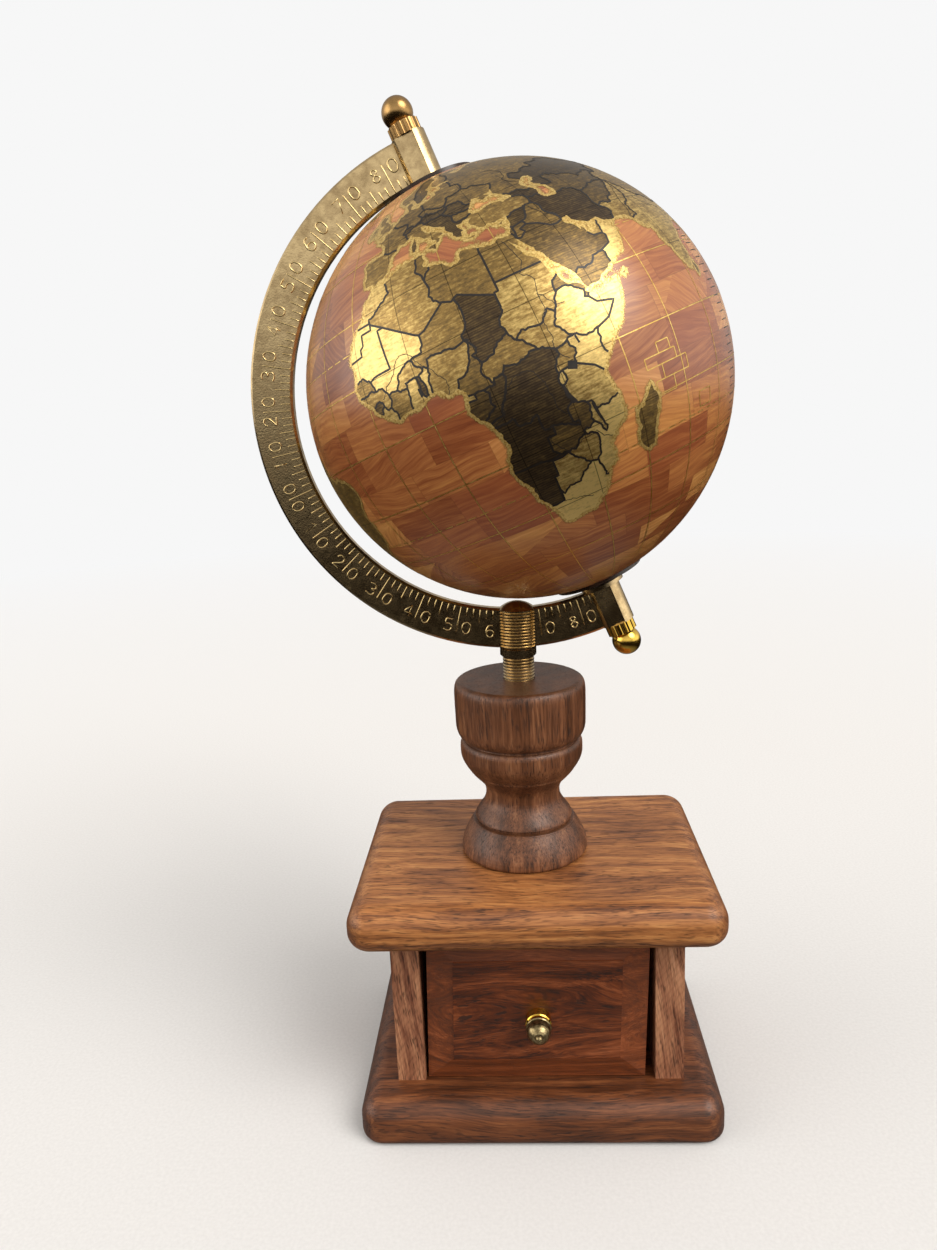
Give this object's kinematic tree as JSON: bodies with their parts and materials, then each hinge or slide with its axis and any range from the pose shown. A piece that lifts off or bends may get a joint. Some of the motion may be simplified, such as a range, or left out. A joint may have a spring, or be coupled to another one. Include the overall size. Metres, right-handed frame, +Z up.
{
  "type": "desktop globe on stand",
  "caption": "Small globe turning on a tilted rod in a brass half-ring scale, on a turned wooden post over a drawer base.",
  "frame": {"origin": "centre of the underside of the wooden base", "axes": "+Z up, the drawer opens towards -Y, and the half ring lies in the XZ plane on the -X side of the globe"},
  "size_m": [0.1455, 0.127, 0.3156],
  "materials": {
    "dark_wood": "satin varnish",
    "case_wood": "sawn, thin varnish",
    "golden_wood": "satin varnish",
    "post_wood": "turned, satin varnish",
    "front_wood": "satin varnish",
    "pale_wood": "plain",
    "brass": "polished",
    "cast_brass": "cast, polished",
    "steel": "plain",
    "globe_shell": "glossy printed map",
    "shell_inside": "plain",
    "bush": "plain",
    "pole_disc": "glossy"
  },
  "bodies": {
    "stand": {"bottom_slab": "dark_wood", "left_wall": "case_wood", "right_wall": "case_wood", "back_panel": "case_wood", "wall_screws": "steel", "top_dowels": "pale_wood", "top_slab": "golden_wood", "turned_post": "post_wood", "post_screw": "steel", "threaded_stem": "brass", "lock_nut": "brass", "meridian_arc": "cast_brass", "axis_rod": "steel", "top_ball_nut": "brass", "bottom_ball_nut": "brass", "pole_washer": "brass"},
    "globe": {"north_shell": "globe_shell", "south_shell": "globe_shell", "equator_ring": "shell_inside", "north_bush": "bush", "south_bush": "bush", "north_disc": "pole_disc", "south_disc": "pole_disc"},
    "drawer": {"drawer_front": "front_wood", "drawer_left_side": "pale_wood", "drawer_right_side": "pale_wood", "drawer_back": "pale_wood", "drawer_bottom": "pale_wood", "drawer_knob": "brass", "knob_screw": "steel", "drawer_nails": "steel"}
  },
  "joints": [
    {"name": "globe_spin", "type": "hinge", "parent": "stand", "child": "globe", "pos_m": [0, 0, 0.23258], "axis": [-0.3778, 0, 0.9259], "continuous": true},
    {"name": "drawer_slide", "type": "slide", "parent": "stand", "child": "drawer", "axis": [0, -1, 0], "range_m": [0, 0.04]}
  ]
}
